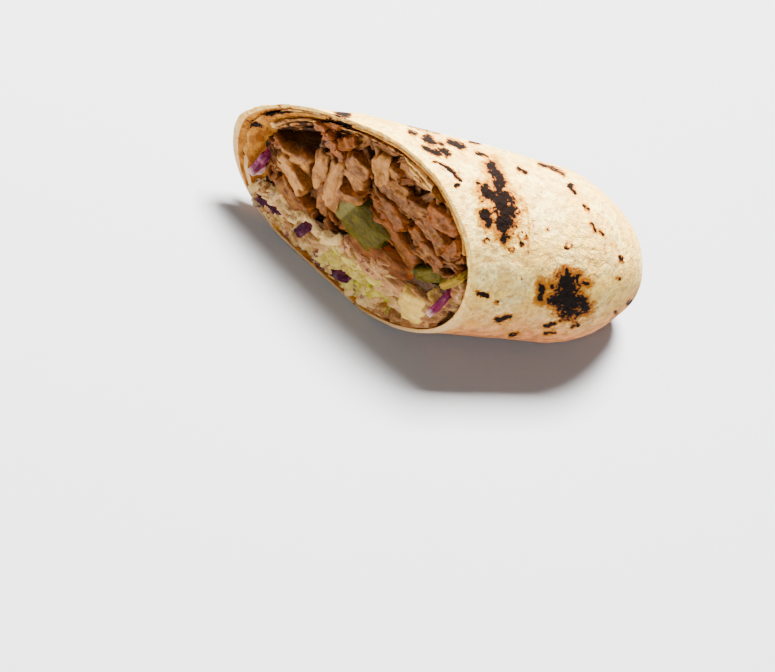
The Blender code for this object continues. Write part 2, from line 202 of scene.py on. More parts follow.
def addVectors(obj, name, values):
    field = obj.data.attributes.new(name, "FLOAT_VECTOR", "POINT")
    field.data.foreach_set("vector", np.asarray(values, float).reshape(-1))


def pick(obj):
    bpy.ops.object.select_all(action="DESELECT")
    bpy.context.view_layer.objects.active = obj
    obj.select_set(True)


def inEditMode(obj, *steps):
    pick(obj)
    bpy.ops.object.mode_set(mode="EDIT")
    bpy.ops.mesh.select_all(action="SELECT")
    for step in steps:
        step()
    bpy.ops.object.mode_set(mode="OBJECT")


def newGrid(name, columns, rows):
    # a flat grid of points, to be moved into shape
    bpy.ops.mesh.primitive_grid_add(x_subdivisions=columns - 1, y_subdivisions=rows - 1, size=1)
    grid = bpy.context.object
    grid.name = grid.data.name = name
    return grid


def closeRims(obj):
    # caps the open ends and turns every face outward
    inEditMode(
        obj,
        lambda: bpy.ops.mesh.select_all(action="DESELECT"),
        lambda: bpy.ops.mesh.select_non_manifold(),
        lambda: bpy.ops.mesh.fill_holes(sides=0),
        lambda: bpy.ops.mesh.select_all(action="SELECT"),
        lambda: bpy.ops.mesh.normals_make_consistent(inside=False),
    )


def joined(name, pieces):
    pick(pieces[0])
    for piece in pieces:
        piece.select_set(True)
    bpy.ops.object.join()
    whole = bpy.context.object
    whole.name = whole.data.name = name
    return whole


def finished(piece, material, node=None):
    pick(piece)
    bpy.ops.object.shade_smooth()
    piece.data.materials.clear()
    piece.data.materials.append(material)
    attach(piece, "root")
    if node:
        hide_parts(node)
    piece.select_set(False)


sheetShape = {"rimRows": 5, "mergeShare": 0.8, "pinchDepth": 0.0045}


def rolledSheet(name, angles, outer, thickness, cutRows, farRows, innerRows, setBack, depth=None, pinch=0.0):
    # A sheet that follows the roll: its outer skin from the far end to the cut, the cut edge, and
    # its inner skin back. Gives the object, its points, the side of each one and its share along.
    inner = outer + thickness
    shares = [(0, share) for share in reversed(cutRows + farRows)]
    rim = sheetShape["rimRows"]
    shares += [(k / (rim + 1), 0.0) for k in range(1, rim + 1)]
    shares += [(1, share) for share in innerRows]
    sheet = newGrid(name, len(angles), len(shares))
    points = np.zeros((len(shares), len(angles), 3))
    sides = np.zeros((len(shares), len(angles)))
    parts = np.zeros((len(shares), len(angles)))
    outerCut = cutAt(angles, outer) + setBack
    innerCut = cutAt(angles, inner) + setBack
    for row, (side, share) in enumerate(shares):
        inset = outer * (1 - side) + inner * side
        start = outerCut if side == 0 else innerCut if side == 1 else cutAt(angles, inset) + setBack
        tip = roll["length"] - roll["endThickening"] * inset if depth is None else start + depth
        xs = start + (tip - start) * share
        if depth is None:
            closing = (xs - roll["domeStart"]) / (tip - roll["domeStart"])
            merged = smooth(closing / sheetShape["mergeShare"])
            merged = merged * smooth((angles - roll["outerEdge"]) / roll["edgeEase"])
            inset = outer * (1 - merged) + thickness * side
            tip = roll["length"] - roll["endThickening"] * inset
            xs = start + (tip - start) * share
        inset = inset - thickness * side * pinch * (1 - smooth((xs - start) / sheetShape["pinchDepth"]))
        points[row] = rollPoints(angles, xs, inset)
        sides[row], parts[row] = side, share
    return sheet, points.reshape(-1, 3), sides.reshape(-1), parts.reshape(-1)


def softBlock(name, size, shape, seed, curl):
    # a rounded, uneven block about its own middle, with its own coordinates kept as grain
    bpy.ops.mesh.primitive_cube_add(size=2)
    block = bpy.context.object
    block.name = block.data.name = name
    inEditMode(block, lambda: bpy.ops.mesh.subdivide(number_cuts=shape["cuts"]))
    cube, power = coordsOf(block), shape["squareness"]
    unit = cube / (np.sum(np.abs(cube) ** power, axis=1) ** (1 / power))[:, None]
    shift = Vector((seed * 3.1, seed * 1.7, 0))
    swell = 1 + shape["roughness"] * np.array([noise.noise(Vector(u) * 1.7 + shift) for u in unit])
    half = np.array(size) / 2
    points = unit * swell[:, None] * half
    if shape.get("flatFront"):
        face = half[2] * shape["flatFront"]
        points[:, 2] = np.minimum(points[:, 2], face) + half[2] * 0.05 * noiseAt(points, 0.002, seed)
    points[:, 1] += curl * half[0] * (unit[:, 0] ** 2 - 0.3)
    chips, chipSize = shape["chips"], shape["chipSize"]
    push = noiseAt(points, chipSize, seed) * chips + noiseAt(points, chipSize * 0.4, seed + 5) * chips * 0.4
    points += unit / np.linalg.norm(unit, axis=1)[:, None] * push[:, None]
    setCoords(block, points)
    addVectors(block, "grain", points + np.array([seed * 0.037, seed * 0.011, 0]))
    addMasks(block, rind=np.max(np.abs(unit[:, :2]), axis=1) ** 6, lengthwise=points[:, 0])
    return block


def addDepth(obj, reach=0.012):
    # how far behind the cut each point lies, 1 at the reach; the materials paint shade into the recesses by it
    out = (coordsOf(obj) - origin) @ cutNormal
    addMasks(obj, deep=np.clip(-out / reach, 0, 1))


def placeOnCut(block, across, upward, out, turn, tilt=0.0, swing=0.0):
    pose = faceFrame @ Matrix.Translation((across, upward, out)) @ Euler(
        (math.radians(tilt), math.radians(swing), math.radians(turn))
    ).to_matrix().to_4x4()
    block.data.transform(pose)
    setCoords(block, keepInside(coordsOf(block) - origin) + origin)


# material helpers: each call adds a node, with values or other nodes' outputs on its inputs

def addNode(tree, kind, inputs=None, **settings):
    node = tree.nodes.new(kind)
    for key, value in settings.items():
        setattr(node, key, value)
    for key, value in (inputs or {}).items():
        if isinstance(value, bpy.types.NodeSocket):
            tree.links.new(value, node.inputs[key])
        else:
            node.inputs[key].default_value = value
    return node


def newMaterial(name, roughness, specular=0.2, **sockets):
    material = bpy.data.materials.new(name)
    material.use_nodes = True
    shader = material.node_tree.nodes["Principled BSDF"]
    shader.inputs["Roughness"].default_value = roughness
    shader.inputs["Specular IOR Level"].default_value = specular
    for key, value in sockets.items():
        shader.inputs[key.replace("_", " ")].default_value = value
    return material, material.node_tree, shader


def tint(tree, factor, first, second):
    node = addNode(tree, "ShaderNodeMix", data_type="RGBA", clamp_factor=True)
    for key, value in (("Factor_Float", factor), ("A_Color", first), ("B_Color", second)):
        socket = next(s for s in node.inputs if s.identifier == key)
        if isinstance(value, bpy.types.NodeSocket):
            tree.links.new(value, socket)
        elif isinstance(value, (int, float)):
            socket.default_value = value
        else:
            socket.default_value = (*value, 1)
    return next(s for s in node.outputs if s.identifier == "Result_Color")


def maths(tree, operation, first, second):
    return addNode(tree, "ShaderNodeMath", {0: first, 1: second}, operation=operation).outputs[0]


def times(tree, first, second):
    return maths(tree, "MULTIPLY", first, second)


def plus(tree, first, second):
    return maths(tree, "ADD", first, second)


def minus(tree, first, second):
    return maths(tree, "SUBTRACT", first, second)


def layer(tree, colour, mask, strength, tone):
    # lays a tone over a colour where the mask is
    return tint(tree, times(tree, mask, strength), colour, tone)


def between(tree, value, low, high):
    node = addNode(
        tree, "ShaderNodeMapRange", {"Value": value, "From Min": low, "From Max": high},
        interpolation_type="SMOOTHSTEP",
    )
    return node.outputs["Result"]


def attribute(tree, name, vector=False):
    node = addNode(tree, "ShaderNodeAttribute", attribute_name=name)
    return node.outputs["Vector" if vector else "Fac"]


def objectCoords(tree):
    return addNode(tree, "ShaderNodeTexCoord").outputs["Object"]


def newGroup(name, *values):
    # a node group from a vector and some values to a mask
    group = bpy.data.node_groups.new(name, "ShaderNodeTree")
    group.interface.new_socket("Vector", in_out="INPUT", socket_type="NodeSocketVector")
    for value in values:
        group.interface.new_socket(value, in_out="INPUT", socket_type="NodeSocketFloat")
    group.interface.new_socket("Mask", in_out="OUTPUT", socket_type="NodeSocketFloat")
    return group, addNode(group, "NodeGroupInput").outputs


# noise turned into a soft mask between two levels
mottles, start = newGroup("mottle", "Scale", "Detail", "Low", "High", "Warp")
field = addNode(mottles, "ShaderNodeTexNoise", {
    "Vector": start["Vector"], "Scale": start["Scale"], "Detail": start["Detail"],
    "Distortion": start["Warp"],
})
mask = between(mottles, field.outputs["Fac"], start["Low"], start["High"])
addNode(mottles, "NodeGroupOutput", {"Mask": mask})

# long streaks along a piece's own x
fibres, start = newGroup("fibres", "Along", "Across")
stretch = addNode(
    fibres, "ShaderNodeCombineXYZ", {"X": start["Along"], "Y": start["Across"], "Z": start["Across"]}
)
scaled = addNode(
    fibres, "ShaderNodeVectorMath", {0: start["Vector"], 1: stretch.outputs[0]}, operation="MULTIPLY"
)
field = addNode(fibres, "ShaderNodeTexNoise", {
    "Vector": scaled.outputs[0], "Scale": 1.0, "Detail": 4.0, "Distortion": 0.4,
})
addNode(fibres, "NodeGroupOutput", {"Mask": field.outputs["Fac"]})


def mottle(tree, vector, scale, low=0.4, high=0.6, detail=3.0, warp=0.0):
    inputs = {"Vector": vector, "Scale": scale, "Low": low, "High": high, "Detail": detail, "Warp": warp}
    return addNode(tree, "ShaderNodeGroup", inputs, node_tree=mottles).outputs["Mask"]


def streaks(tree, vector, alongScale, acrossScale):
    inputs = {"Vector": vector, "Along": alongScale, "Across": acrossScale}
    return addNode(tree, "ShaderNodeGroup", inputs, node_tree=fibres).outputs["Mask"]


def finishShader(tree, shader, colour, height, depth, roughness=None):
    tree.links.new(colour, shader.inputs["Base Color"])
    if roughness is not None:
        tree.links.new(roughness, shader.inputs["Roughness"])
    bump = addNode(tree, "ShaderNodeBump", {"Height": height, "Strength": 1.0, "Distance": depth})
    tree.links.new(bump.outputs["Normal"], shader.inputs["Normal"])


# bread: one sheet rolled a turn and a half, folded shut at the far end

breadRoll = {
    "thickness": 0.002, "insideStep": 2.6, "backStep": 2.0, "shownStep": 0.62,
    "tallRows": 92, "domeRows": 46, "innerRows": 34, "rimRoughness": 0.00025, "reliefDepth": 0.00016,
    "pinch": 0.42, "innerPinch": 0.6, "coverPinch": 0.3, "innerSetBack": 0.0011,
    "featherFrom": 560, "featherInset": 0.00085, "featherThickness": 0.0003, "lapEnd": 600,
    "domeShare": 0.62, "shownFrom": 378, "shownTo": 536,
}
angles = np.concatenate([
    np.arange(roll["innerEdge"], roll["outerEdge"], breadRoll["insideStep"]),
    np.arange(roll["outerEdge"], breadRoll["shownFrom"], breadRoll["backStep"]),
    np.arange(breadRoll["shownFrom"], breadRoll["shownTo"], breadRoll["shownStep"]),
    np.arange(breadRoll["shownTo"], breadRoll["lapEnd"] + 1, breadRoll["backStep"]),
])
feather = smooth((angles - breadRoll["featherFrom"]) / (breadRoll["lapEnd"] - breadRoll["featherFrom"]))
insets = np.where(angles <= roll["outerEdge"], roll["layer"], climb(angles))
insets = insets + feather * breadRoll["featherInset"]
pinch = np.where(angles > 395, breadRoll["coverPinch"], breadRoll["pinch"])
pinch = np.where(angles < roll["outerEdge"], breadRoll["innerPinch"], pinch)
thickness = breadRoll["thickness"] * (1 - feather) + breadRoll["featherThickness"] * feather
innerBack = breadRoll["innerSetBack"] * (1 - smooth((angles - 195) / 30)) * (
    1 + 0.9 * np.array([noise.noise(Vector((a / 9, 0, 0))) for a in angles])
)
domeShare = breadRoll["domeShare"]
cutRows = list(np.linspace(0, domeShare, breadRoll["tallRows"], endpoint=False))
farRows = [
    domeShare + (1 - domeShare) * math.sin(t * math.pi / 2) for t in np.linspace(0, 1, breadRoll["domeRows"])
]
innerRows = list(np.linspace(0, 0.5, breadRoll["innerRows"] - 8)) + list(np.linspace(0.58, 1, 8))
bread, points, sides, shares = rolledSheet(
    "breadRoll", angles, insets, thickness, cutRows, farRows, innerRows, innerBack, pinch=pinch
)
columns = np.tile(angles, len(points) // len(angles))
backOf = np.tile(innerBack, len(points) // len(angles))
shown = (sides < 0.5) & (points[:, 2] > 2 * roll["bread"]) & (columns > roll["outerEdge"] - 10)
closing = smooth((points[:, 0] - roll["domeStart"]) / (roll["length"] - roll["domeStart"]))
depths = roll["waveDepth"] + (roll["endDents"] - roll["waveDepth"]) * closing
aims = points * np.array([0, 1, 1]) - np.array([0, 0, roll["belly"]])
aims /= np.maximum(np.linalg.norm(aims, axis=1), 1e-6)[:, None]
wave = noiseAt(points, roll["waveLength"]) * depths + noiseAt(points, 0.0042, 3) * breadRoll["reliefDepth"]
points += aims * (wave * shown)[:, None]
rimRows = (sides > 0) & (sides < 1)
atCut = (shares == 0) | rimRows
points[atCut, 0] = -points[atCut, 1] * math.tan(cutBias) + backOf[atCut]
ragged = noiseAt(points[atCut], 0.0021, 8) * breadRoll["rimRoughness"] * np.where(rimRows[atCut], 1, 0.3)
ragged *= np.where(columns[atCut] < roll["outerEdge"], 2.2, 1)
points[atCut] += cutNormal * ragged[:, None]
setCoords(bread, points + origin)
addMasks(bread, inside=sides, turn=columns)  # turn: degrees round the roll
inEditMode(bread, lambda: bpy.ops.mesh.remove_doubles(threshold=0.00001))
closeRims(bread)
print("bread rolled", len(bread.data.polygons))

# burn marks read off the photograph's pixels: two ends and a width, or a middle and a radius
burns = {
    "tallPatch": [
        (491, 166, 501, 184, 10), (485.5, 190, 497, 199, 12), (503, 200, 506, 221, 21),
        (485, 214, 488, 222, 9), (502, 228, 504, 238, 8), (496, 184, 500, 196, 7),
    ],
    "roundPatch": [
        (561, 300, 573, 304, 20), (566, 285, 570, 308, 22), (582, 300, 586, 309, 9),
        (552, 301, 556, 303, 7), (548, 299, 548, 300, 4), (567, 272, 568, 280, 5),
        (576.6, 275, 577, 282, 4), (585, 283, 585.5, 284, 4), (541.6, 284.7, 540, 299, 4.5),
        (552, 284, 552, 287, 3),
    ],
    "rimGroup": [
        (411, 124, 439, 131, 4.5), (410, 132, 415, 134.4, 3.6), (427, 138, 433, 142.6, 8),
        (450, 141.3, 461.6, 146.8, 6), (424.5, 147.4, 438.6, 154.2, 5.4), (441.4, 150, 448, 153.8, 5.6),
        (439.5, 143, 443, 145.4, 2.4), (337.4, 113.6, 348, 114.4, 5.4),
    ],
    "blister": [
        (434, 161.5, 446, 167, 2.8), (446, 167, 456, 173.4, 3.6), (456, 173.4, 459, 180, 3.6),
        (458, 184, 456, 186.5, 3),
    ],
    "small": [
        (470.6, 142, 479.4, 143, 2.5), (476, 152.4, 487.4, 156.4, 2), (517.7, 168.3, 525.6, 172.3, 2.8),
        (540, 164.3, 552.7, 168.3, 2), (552.7, 168.3, 563.9, 174.7, 2), (570.3, 185.9, 574.2, 192.2, 3.8),
        (584.6, 205, 588.6, 210.6, 2.8), (591.8, 224, 595, 231.3, 2.4), (516.9, 226.5, 517, 227, 3),
        (521.6, 244, 522, 244.5, 4), (478.6, 292.6, 486.6, 295, 4), (496.6, 302.5, 497, 303, 2.5),
        (497, 319.7, 509, 316.5, 5), (544.8, 326, 556, 323, 3), (544.8, 334, 554.3, 332.5, 3),
        (509.7, 335, 517.7, 333, 3), (572, 327, 578, 324.5, 2.5), (627.6, 303.8, 630.8, 301.4, 2.5),
        (615.7, 312.6, 616, 313, 2.5), (477.8, 181, 478, 182, 2.4), (619.6, 257.4, 621, 261, 3.6),
        (600.6, 232, 603, 235, 3), (547.4, 228.6, 547.6, 229, 1.8), (619, 278.6, 619.4, 279, 2),
    ],
}
burnRings = [(568, 245.6, 3.4), (522.4, 236, 4), (512, 250, 2.5), (482.6, 198.6, 3), (486, 241, 2.4)]
innerBurns = [
    (245.7, 128.5, 255.3, 123.7, 4), (240.6, 142.8, 241, 143, 2.5), (243.3, 152.4, 243.5, 152.6, 2.5),
    (254.8, 140.8, 255, 141, 2.4), (266.5, 113.3, 292, 110.9, 4.5), (327, 120.5, 349.4, 125.3, 4),
]
flakes = [(437, 165.0, 446, 169, 3.0), (446, 169.5, 452, 177, 2.8)]
crease = [(526.5, 203, 529, 226, 1.6), (529, 226, 528, 253, 1.6)]


def pixelsOf(points):
    rays = points - np.array(view["location"])
    reach = view["focal"] / view["sensor"] * view["width"] / -(rays @ np.array(back))
    across, upward = rays @ np.array(right), rays @ np.array(back.cross(right))
    return np.stack([view["width"] / 2 + across * reach, view["height"] / 2 - upward * reach], axis=1)


def strokeField(points, strokes, spread=0.0):
    # 1 on the strokes, a half at their edges, fading outside
    spots = pixelsOf(points)
    field = np.zeros(len(points))
    for x1, y1, x2, y2, width in strokes:
        first, run = np.array((x1, y1)), np.array((x2 - x1, y2 - y1))
        share = np.clip((spots - first) @ run / (run @ run), 0, 1)
        distance = np.linalg.norm(spots - first - share[:, None] * run, axis=1)
        field = np.maximum(field, 0.5 ** ((distance / (max(width, 2.6) / 2 + spread)) ** 2))
    return field


def ringField(points, rings):
    spots = pixelsOf(points)
    field = np.zeros(len(points))
    for x, y, radius in rings:
        distance = np.linalg.norm(spots - np.array((x, y)), axis=1)
        field = np.maximum(field, 0.5 ** (((distance - radius) / 1.4) ** 2))
    return field


def facesViewer(obj):
    normals = np.empty(len(obj.data.vertices) * 3)
    obj.data.vertices.foreach_get("normal", normals)
    rays = np.array(view["location"]) - coordsOf(obj)
    return smooth(np.sum(normals.reshape(-1, 3) * rays, axis=1) / np.linalg.norm(rays, axis=1) * 12 + 0.5)


def maskOf(obj, name):
    values = np.empty(len(obj.data.vertices))
    obj.data.attributes[name].data.foreach_get("value", values)
    return values


bpy.context.view_layer.update()
points, sides = coordsOf(bread), maskOf(bread, "inside")
wander = np.stack([noiseAt(points, 0.0022, seed) for seed in (31, 32, 33)], axis=1) * 0.0007
strokes = [stroke for group in burns.values() for stroke in group]
patches = burns["tallPatch"] + burns["roundPatch"]
outward = (sides < 0.5) * facesViewer(bread)
char = strokeField(points + wander, strokes) * outward
toast = np.maximum(strokeField(points, strokes, 1.1) * 0.8, strokeField(points + wander, patches, 4.2) * 0.95)
toast = np.maximum(toast, ringField(points, burnRings) * 0.6)
toast = np.maximum(toast, strokeField(points, crease) * 0.55) * outward
rings = ringField(points + wander * 0.7, burnRings) * (0.75 + 0.6 * noiseAt(points, 0.0012, 9)) * outward
innerChar = strokeField(points, innerBurns) * facesViewer(bread)
fromCut = -(points - origin) @ cutNormal
# painted shade: the bread is coloured darker and pinker towards its lower side, standing in for the shade there
# with warm light bounced from the bread
lowerSide = smooth((0.042 - points[:, 2]) / 0.027)
addMasks(
    bread, char=np.maximum(char, innerChar), toast=np.maximum(toast, innerChar * 0.9), ring=rings,
    flake=smooth(strokeField(points + wander, flakes) * 1.6 - 0.3) * outward,
    rim=(1 - smooth((fromCut - 0.0006) / 0.0022)) * (sides < 0.99) + ((sides > 0) & (sides < 1)),
    # lit: where the key light falls most, for a lit copy of the halo tone painted there
    low=lowerSide, lit=smooth(strokeField(points, burns["tallPatch"] + burns["rimGroup"], 12) * 2),
)
print("burns placed")


def breadMaterial():
    material, tree, shader = newMaterial(
        "flatbread", 0.78, 0.05, Subsurface_Weight=0.1, Subsurface_Scale=0.002
    )
    shader.inputs["Subsurface Radius"].default_value = (1.0, 0.6, 0.35)
    coords = objectCoords(tree)
    cream, pale = (0.93, 0.6, 0.11), (0.96, 0.77, 0.27)
    colour = tint(tree, mottle(tree, coords, 90, 0.4, 0.66, 4), cream, pale)
    for strength, tone, scale, *cloud in (
        (0.62, (0.52, 0.29, 0.075), 230, 0.42, 0.66, 5, 0.6),
        (0.6, (0.56, 0.32, 0.09), 520, 0.46, 0.62, 5),
        (0.55, (0.38, 0.21, 0.065), 820, 0.52, 0.66, 4),
        (0.6, (0.97, 0.84, 0.42), 650, 0.56, 0.72, 3),
    ):
        colour = layer(tree, colour, mottle(tree, coords, scale, *cloud), strength, tone)
    # painted shade: darker, pinker tones laid on the lower side by the low mask
    lowTone = tint(tree, mottle(tree, coords, 300, 0.36, 0.64, 5), (0.7, 0.235, 0.085), (0.38, 0.1, 0.034))
    colour = layer(tree, colour, attribute(tree, "low"), 0.9, lowTone)
    scorch = mottle(tree, coords, 190, 0.56, 0.72, 4)
    colour = layer(tree, colour, scorch, 0.55, (0.66, 0.3, 0.03))
    freckles = mottle(tree, coords, 330, 0.67, 0.73, 4)
    colour = layer(tree, colour, freckles, 0.75, (0.22, 0.075, 0.012))
    # cut edge: its own paler crumb colour, painted lighter still as painted light where the key light doesn't
    # reach it; on the lower side (low mask) a paler, less orange tone is painted against the shade there
    rimShade = tint(tree, mottle(tree, coords, 500, 0.4, 0.6, 3), (0.97, 0.7, 0.2), (0.86, 0.45, 0.07))
    rimShade = tint(tree, attribute(tree, "low"), rimShade, (0.72, 0.44, 0.19))
    colour = layer(tree, colour, attribute(tree, "rim"), 0.8, rimShade)
    soaked = tint(tree, mottle(tree, coords, 260, 0.38, 0.62, 4), (0.52, 0.2, 0.022), (0.27, 0.08, 0.008))
    layered = between(tree, attribute(tree, "turn"), 215.0, 195.0)
    colour = layer(tree, colour, layered, 0.8, soaked)
    colour = tint(tree, between(tree, attribute(tree, "inside"), 0.75, 1.0), colour, soaked)
    rough = minus(tree, mottle(tree, coords, 1000, 0.25, 0.75, 4), 0.5)
    broad = minus(tree, mottle(tree, coords, 380, 0.25, 0.75, 4), 0.5)
    uneven = plus(tree, times(tree, rough, 0.42), times(tree, broad, 0.5))
    toastEdge = plus(tree, attribute(tree, "toast"), times(tree, uneven, 0.7))
    # painted light: the halo's hue is shifted where the key light falls most (the lit mask), a lit copy of the
    # toasting tone
    halo = tint(tree, attribute(tree, "lit"), (0.4, 0.135, 0.0015), (0.42, 0.185, 0.0004))
    colour = layer(tree, colour, between(tree, toastEdge, 0.14, 0.56), 0.95, halo)
    colour = layer(tree, colour, between(tree, toastEdge, 0.44, 0.88), 0.85, (0.26, 0.08, 0.0008))
    colour = layer(tree, colour, attribute(tree, "flake"), 0.75, (0.88, 0.74, 0.46))
    burnt = plus(tree, attribute(tree, "char"), uneven)
    ringed = plus(tree, attribute(tree, "ring"), times(tree, uneven, 1.2))
    deep = maths(tree, "MAXIMUM", burnt, times(tree, ringed, 0.66))
    colour = tint(tree, between(tree, deep, 0.24, 0.42), colour, (0.26, 0.075, 0.01))
    flecked = minus(tree, deep, times(tree, mottle(tree, coords, 800, 0.52, 0.64, 4), 0.24))
    colour = tint(tree, between(tree, flecked, 0.38, 0.56), colour, (0.006, 0.003, 0.002))
    fine = times(tree, mottle(tree, coords, 1800, 0.2, 0.8, 3), 0.35)
    relief = plus(tree, mottle(tree, coords, 420, 0.2, 0.8, 6), fine)
    relief = minus(tree, relief, times(tree, between(tree, deep, 0.45, 0.6), 0.5))
    roughness = minus(tree, 0.8, times(tree, between(tree, attribute(tree, "inside"), 0.75, 1.0), 0.3))
    finishShader(tree, shader, colour, relief, 0.00045, roughness)
    return material


flatbread = breadMaterial()
finished(bread, flatbread, "flatbread")
print("bread finished")


# thin leaves of bread that stand between the rolled sheet and the meat:
# first and last angle, inset, how far behind the cut, and how brown
leafRows = [
    (60, 158, 0.00165, 0.0006, 0.45),
    (68, 103, 0.0047, 0.0006, 0.15), (70, 101, 0.0055, 0.0009, 0.5), (72, 99, 0.0063, 0.0004, 0.25),
    (75, 96, 0.0071, 0.0011, 0.6), (78, 92, 0.0079, 0.0008, 0.3),
    (98, 174, 0.0047, 0.0016, 0.6), (103, 170, 0.0058, 0.0026, 0.85), (110, 160, 0.0071, 0.004, 0.95),
]
leafShape = {
    "columns": 70, "rows": 14, "depth": 0.011, "thinnest": 0.00016, "swell": 0.00036, "taper": 8,
    "ripple": 0.0005, "endSetBack": 0.0016, "rippleSetBack": 0.0011, "rimRoughness": 0.00025,
}
depthRows = list(np.linspace(0, 1, leafShape["rows"]))
leafPieces = []
for number, (first, last, inset, behind, tone) in enumerate(leafRows):
    around = np.linspace(first, last, leafShape["columns"])
    ripple = np.array([noise.noise(Vector((a / 5, number * 7.3, 0))) for a in around])
    ends = smooth((around - first) / leafShape["taper"]) * smooth((last - around) / leafShape["taper"])
    setBack = behind + (1 - ends) * leafShape["endSetBack"] + np.abs(ripple) * leafShape["rippleSetBack"]
    sheet, spots, _, _ = rolledSheet(
        f"leaf{number}", around, inset + ripple * min(leafShape["ripple"], (inset - 0.0012) * 0.3),
        leafShape["thinnest"] + leafShape["swell"] * ends, depthRows, [], depthRows, setBack,
        depth=leafShape["depth"],
    )
    spots += cutNormal * noiseAt(spots, 0.0016, number)[:, None] * leafShape["rimRoughness"]
    setCoords(sheet, spots + origin)
    addMasks(sheet, tone=tone)
    closeRims(sheet)
    leafPieces.append(sheet)
breadLeaves = joined("breadLeaves", leafPieces)
addDepth(breadLeaves)


def leavesMaterial():
    material, tree, shader = newMaterial("breadLeaves", 0.7, 0.12)
    coords, tone = objectCoords(tree), attribute(tree, "tone")
    cloud = minus(tree, mottle(tree, coords, 380, 0.25, 0.75, 4), 0.5)
    browned = plus(tree, tone, times(tree, cloud, 0.9))
    colour = tint(tree, between(tree, browned, 0.15, 0.6), (0.78, 0.44, 0.13), (0.34, 0.125, 0.024))
    colour = tint(tree, between(tree, browned, 0.6, 0.98), colour, (0.03, 0.009, 0.003))
    # painted shade: darker the further behind the cut, in the recesses
    sunken = between(tree, attribute(tree, "deep"), 0.18, 0.7)
    colour = layer(tree, colour, sunken, 0.8, (0.05, 0.018, 0.006))
    finishShader(tree, shader, colour, mottle(tree, coords, 900, 0.2, 0.8, 4), 0.0002)
    return material


finished(breadLeaves, leavesMaterial())
print("leaves laid")


# meat: a packed core behind the cut, coloured near-black as painted shade in the gaps, with the slices that show
# in it

coreShape = {"columns": 168, "faceRows": 34, "sideRows": 26, "clearance": 0.0005, "split": 0.0002}


def packedCore(name, setBack, above, seed, relief):
    # fills the bread from behind the cut to the folded end, above or below the slaw's level
    columns, faceRows, sideRows = coreShape["columns"], coreShape["faceRows"], coreShape["sideRows"]
    core = newGrid(name, columns, faceRows + sideRows)
    around = np.linspace(0, 360, columns)
    inset = roll["bread"] + coreShape["clearance"] + layersAt(around)
    cut = cutAt(around, inset)
    rim = rollPoints(around, cut, inset)
    middle = rim.mean(axis=0)
    rows = []
    for k in range(faceRows):
        share = (k / (faceRows - 1)) ** 0.8
        row = middle + (rim - middle) * share
        row[:, 0] = -row[:, 1] * math.tan(cutBias)
        rows.append(row - cutNormal * setBack)
    start = rows[-1][:, 0]
    tip = roll["length"] - roll["tipInset"]
    for k in range(1, sideRows + 1):
        xs = start + (tip - start) * math.sin(k / sideRows * math.pi / 2)
        rows.append(rollPoints(around, xs, inset))
    points = np.stack(rows).reshape(-1, 3)
    parting, split = slawHeight(points[:, 1]), coreShape["split"]
    if above:
        points[:, 2] = np.maximum(points[:, 2], parting + split)
    else:
        points[:, 2] = np.minimum(points[:, 2], parting - split)
    face = np.repeat(np.arange(faceRows + sideRows) < faceRows, columns)
    push = noiseAt(points, 0.0034, seed) * relief + noiseAt(points, 0.0012, seed + 4) * relief * 0.4
    points[face] += cutNormal * push[face][:, None]
    setCoords(core, points + origin)
    inEditMode(
        core,
        lambda: bpy.ops.mesh.remove_doubles(threshold=0.00002),
        lambda: bpy.ops.mesh.normals_make_consistent(inside=False),
    )
    addVectors(core, "grain", coordsOf(core))
    addMasks(core, rind=0.0)
    return core


hollow = {
    "across": -0.0305, "up": 0.0385, "long": 0.0112, "tall": 0.0056, "turn": math.radians(44),
    "deep": 0.018, "reach": 0.02,
}
meatCore = packedCore("meatCore", 0.0052, True, 21, 0.0022)
points = coordsOf(meatCore)
local = (np.array(faceFrame.inverted()) @ np.c_[points, np.ones(len(points))].T).T[:, :3]
nearFace = local[:, 2] > -hollow["reach"]
sunk = np.clip(1 - ovalShare(hollow, local[:, 0], local[:, 1]), 0, 1) ** 0.5 * nearFace
points[:, 0] += sunk * hollow["deep"]
setCoords(meatCore, points)
# the core is painted near-black: painted shade in the gaps between the slices
addMasks(meatCore, tone=0.0, gap=1.0)

